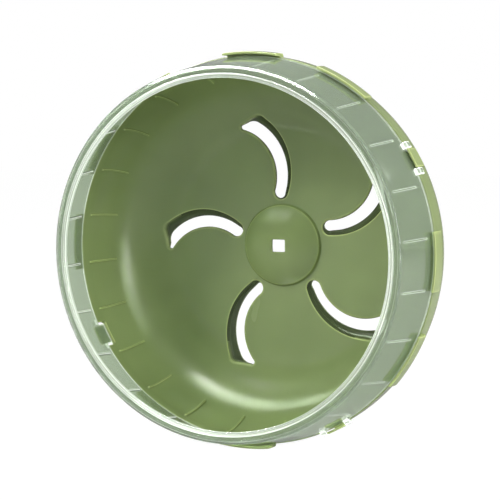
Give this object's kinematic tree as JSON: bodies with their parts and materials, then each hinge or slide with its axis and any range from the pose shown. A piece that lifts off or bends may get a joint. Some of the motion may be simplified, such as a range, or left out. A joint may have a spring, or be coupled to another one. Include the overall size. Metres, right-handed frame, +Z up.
{
  "type": "hamster wheel drum",
  "caption": "Solid running drum for a small pet: a moulded cup with a domed hub, swirl slots and grip ribs, and a clear front ring that clips on and pulls off.",
  "frame": {"origin": "on the axle's axis, where it crosses the plane of the disc's inside face", "axes": "+Y along the axle towards the back, so that the open mouth faces -Y; +Z up as in the picture; +X to the right seen from the mouth"},
  "size_m": [0.2096, 0.0865, 0.2096],
  "materials": {
    "green_plastic": "glossy moss green moulded plastic",
    "clear_plastic": "clear glossy moulded plastic with a faint green cast"
  },
  "bodies": {
    "cup": {"running_cup": "green_plastic"},
    "ring": {"clear_ring": "clear_plastic"}
  },
  "joints": [
    {"name": "ring_pull_off", "type": "slide", "parent": "cup", "child": "ring", "axis": [0, -1, 0], "range_m": [0, 0.04]}
  ]
}
